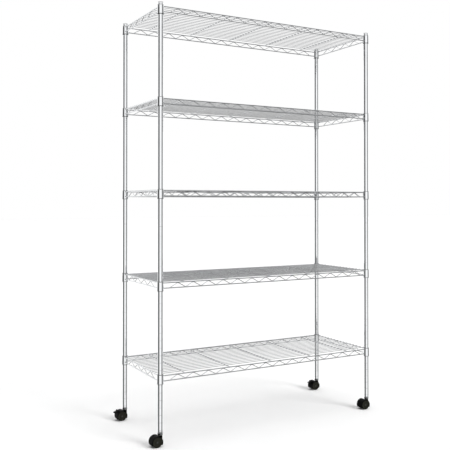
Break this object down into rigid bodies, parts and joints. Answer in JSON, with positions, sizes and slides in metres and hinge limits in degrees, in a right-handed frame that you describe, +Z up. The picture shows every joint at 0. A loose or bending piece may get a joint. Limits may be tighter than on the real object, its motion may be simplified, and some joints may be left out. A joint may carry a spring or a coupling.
{
  "type": "wire shelving rack",
  "caption": "Tall chrome wire shelving rack: evenly spaced open wire shelves with zigzag rims on round posts, standing on swivelling twin-wheel casters.",
  "frame": {"origin": "on the floor, under the centre of the bounding box at rest", "axes": "+Z up, X along the shelves' length, +Y from the front of the rack to the back; the casters trail towards -X"},
  "size_m": [0.967, 0.3676, 1.524],
  "materials": {
    "chrome_steel": "bright chrome plating on grooved steel tube",
    "chrome_wire": "bright chrome plating on welded steel wire",
    "sleeve_plastic": "black moulded plastic",
    "cap_plastic": "light grey moulded plastic",
    "zinc_steel": "zinc plated turned steel",
    "black_steel": "black finished steel pin",
    "hood_plastic": "black moulded nylon, slightly glossy",
    "wheel_plastic": "very dark grey nylon wheel"
  },
  "bodies": {
    "root": {"post_front_left_lower": "chrome_steel", "post_front_left_upper": "chrome_steel", "post_front_left_cap": "cap_plastic", "post_front_right_lower": "chrome_steel", "post_front_right_upper": "chrome_steel", "post_front_right_cap": "cap_plastic", "post_rear_left_lower": "chrome_steel", "post_rear_left_upper": "chrome_steel", "post_rear_left_cap": "cap_plastic", "post_rear_right_lower": "chrome_steel", "post_rear_right_upper": "chrome_steel", "post_rear_right_cap": "cap_plastic", "shelf_1": "chrome_wire", "shelf_2": "chrome_wire", "shelf_3": "chrome_wire", "shelf_4": "chrome_wire", "shelf_5": "chrome_wire", "sleeve_1_front_left": "sleeve_plastic", "sleeve_1_front_right": "sleeve_plastic", "sleeve_1_rear_left": "sleeve_plastic", "sleeve_1_rear_right": "sleeve_plastic", "sleeve_2_front_left": "sleeve_plastic", "sleeve_2_front_right": "sleeve_plastic", "sleeve_2_rear_left": "sleeve_plastic", "sleeve_2_rear_right": "sleeve_plastic", "sleeve_3_front_left": "sleeve_plastic", "sleeve_3_front_right": "sleeve_plastic", "sleeve_3_rear_left": "sleeve_plastic", "sleeve_3_rear_right": "sleeve_plastic", "sleeve_4_front_left": "sleeve_plastic", "sleeve_4_front_right": "sleeve_plastic", "sleeve_4_rear_left": "sleeve_plastic", "sleeve_4_rear_right": "sleeve_plastic", "sleeve_5_front_left": "sleeve_plastic", "sleeve_5_front_right": "sleeve_plastic", "sleeve_5_rear_left": "sleeve_plastic", "sleeve_5_rear_right": "sleeve_plastic", "caster_front_left_stem": "zinc_steel", "caster_front_right_stem": "zinc_steel", "caster_rear_left_stem": "zinc_steel", "caster_rear_right_stem": "zinc_steel"},
    "caster_front_left": {"caster_front_left_hood": "hood_plastic", "caster_front_left_axle": "black_steel"},
    "caster_front_left_wheel_front": {"caster_front_left_wheel_front": "wheel_plastic"},
    "caster_front_left_wheel_back": {"caster_front_left_wheel_back": "wheel_plastic"},
    "caster_front_right": {"caster_front_right_hood": "hood_plastic", "caster_front_right_axle": "black_steel"},
    "caster_front_right_wheel_front": {"caster_front_right_wheel_front": "wheel_plastic"},
    "caster_front_right_wheel_back": {"caster_front_right_wheel_back": "wheel_plastic"},
    "caster_rear_left": {"caster_rear_left_hood": "hood_plastic", "caster_rear_left_axle": "black_steel"},
    "caster_rear_left_wheel_front": {"caster_rear_left_wheel_front": "wheel_plastic"},
    "caster_rear_left_wheel_back": {"caster_rear_left_wheel_back": "wheel_plastic"},
    "caster_rear_left_brake_lever": {"caster_rear_left_brake_lever": "hood_plastic"},
    "caster_rear_right": {"caster_rear_right_hood": "hood_plastic", "caster_rear_right_axle": "black_steel"},
    "caster_rear_right_wheel_front": {"caster_rear_right_wheel_front": "wheel_plastic"},
    "caster_rear_right_wheel_back": {"caster_rear_right_wheel_back": "wheel_plastic"},
    "caster_rear_right_brake_lever": {"caster_rear_right_brake_lever": "hood_plastic"}
  },
  "joints": [
    {"name": "caster_front_left_swivel", "type": "hinge", "parent": "root", "child": "caster_front_left", "pos_m": [-0.43784, -0.1682, 0.032], "axis": [0, 0, 1], "continuous": true},
    {"name": "caster_front_left_wheel_front_spin", "type": "hinge", "parent": "caster_front_left", "child": "caster_front_left_wheel_front", "pos_m": [-0.45384, -0.1784, 0.0175], "axis": [0, 1, 0], "continuous": true},
    {"name": "caster_front_left_wheel_back_spin", "type": "hinge", "parent": "caster_front_left", "child": "caster_front_left_wheel_back", "pos_m": [-0.45384, -0.158, 0.0175], "axis": [0, 1, 0], "continuous": true},
    {"name": "caster_front_right_swivel", "type": "hinge", "parent": "root", "child": "caster_front_right", "pos_m": [0.47116, -0.1682, 0.032], "axis": [0, 0, 1], "continuous": true},
    {"name": "caster_front_right_wheel_front_spin", "type": "hinge", "parent": "caster_front_right", "child": "caster_front_right_wheel_front", "pos_m": [0.45516, -0.1784, 0.0175], "axis": [0, 1, 0], "continuous": true},
    {"name": "caster_front_right_wheel_back_spin", "type": "hinge", "parent": "caster_front_right", "child": "caster_front_right_wheel_back", "pos_m": [0.45516, -0.158, 0.0175], "axis": [0, 1, 0], "continuous": true},
    {"name": "caster_rear_left_swivel", "type": "hinge", "parent": "root", "child": "caster_rear_left", "pos_m": [-0.43784, 0.1682, 0.032], "axis": [0, 0, 1], "continuous": true},
    {"name": "caster_rear_left_wheel_front_spin", "type": "hinge", "parent": "caster_rear_left", "child": "caster_rear_left_wheel_front", "pos_m": [-0.45384, 0.158, 0.0175], "axis": [0, 1, 0], "continuous": true},
    {"name": "caster_rear_left_wheel_back_spin", "type": "hinge", "parent": "caster_rear_left", "child": "caster_rear_left_wheel_back", "pos_m": [-0.45384, 0.1784, 0.0175], "axis": [0, 1, 0], "continuous": true},
    {"name": "caster_rear_left_brake", "type": "hinge", "parent": "caster_rear_left", "child": "caster_rear_left_brake_lever", "pos_m": [-0.46726, 0.1682, 0.03667], "axis": [0, -1, 0], "range_deg": [0, 15]},
    {"name": "caster_rear_right_swivel", "type": "hinge", "parent": "root", "child": "caster_rear_right", "pos_m": [0.47116, 0.1682, 0.032], "axis": [0, 0, 1], "continuous": true},
    {"name": "caster_rear_right_wheel_front_spin", "type": "hinge", "parent": "caster_rear_right", "child": "caster_rear_right_wheel_front", "pos_m": [0.45516, 0.158, 0.0175], "axis": [0, 1, 0], "continuous": true},
    {"name": "caster_rear_right_wheel_back_spin", "type": "hinge", "parent": "caster_rear_right", "child": "caster_rear_right_wheel_back", "pos_m": [0.45516, 0.1784, 0.0175], "axis": [0, 1, 0], "continuous": true},
    {"name": "caster_rear_right_brake", "type": "hinge", "parent": "caster_rear_right", "child": "caster_rear_right_brake_lever", "pos_m": [0.44173, 0.1682, 0.03667], "axis": [0, -1, 0], "range_deg": [0, 15]}
  ]
}
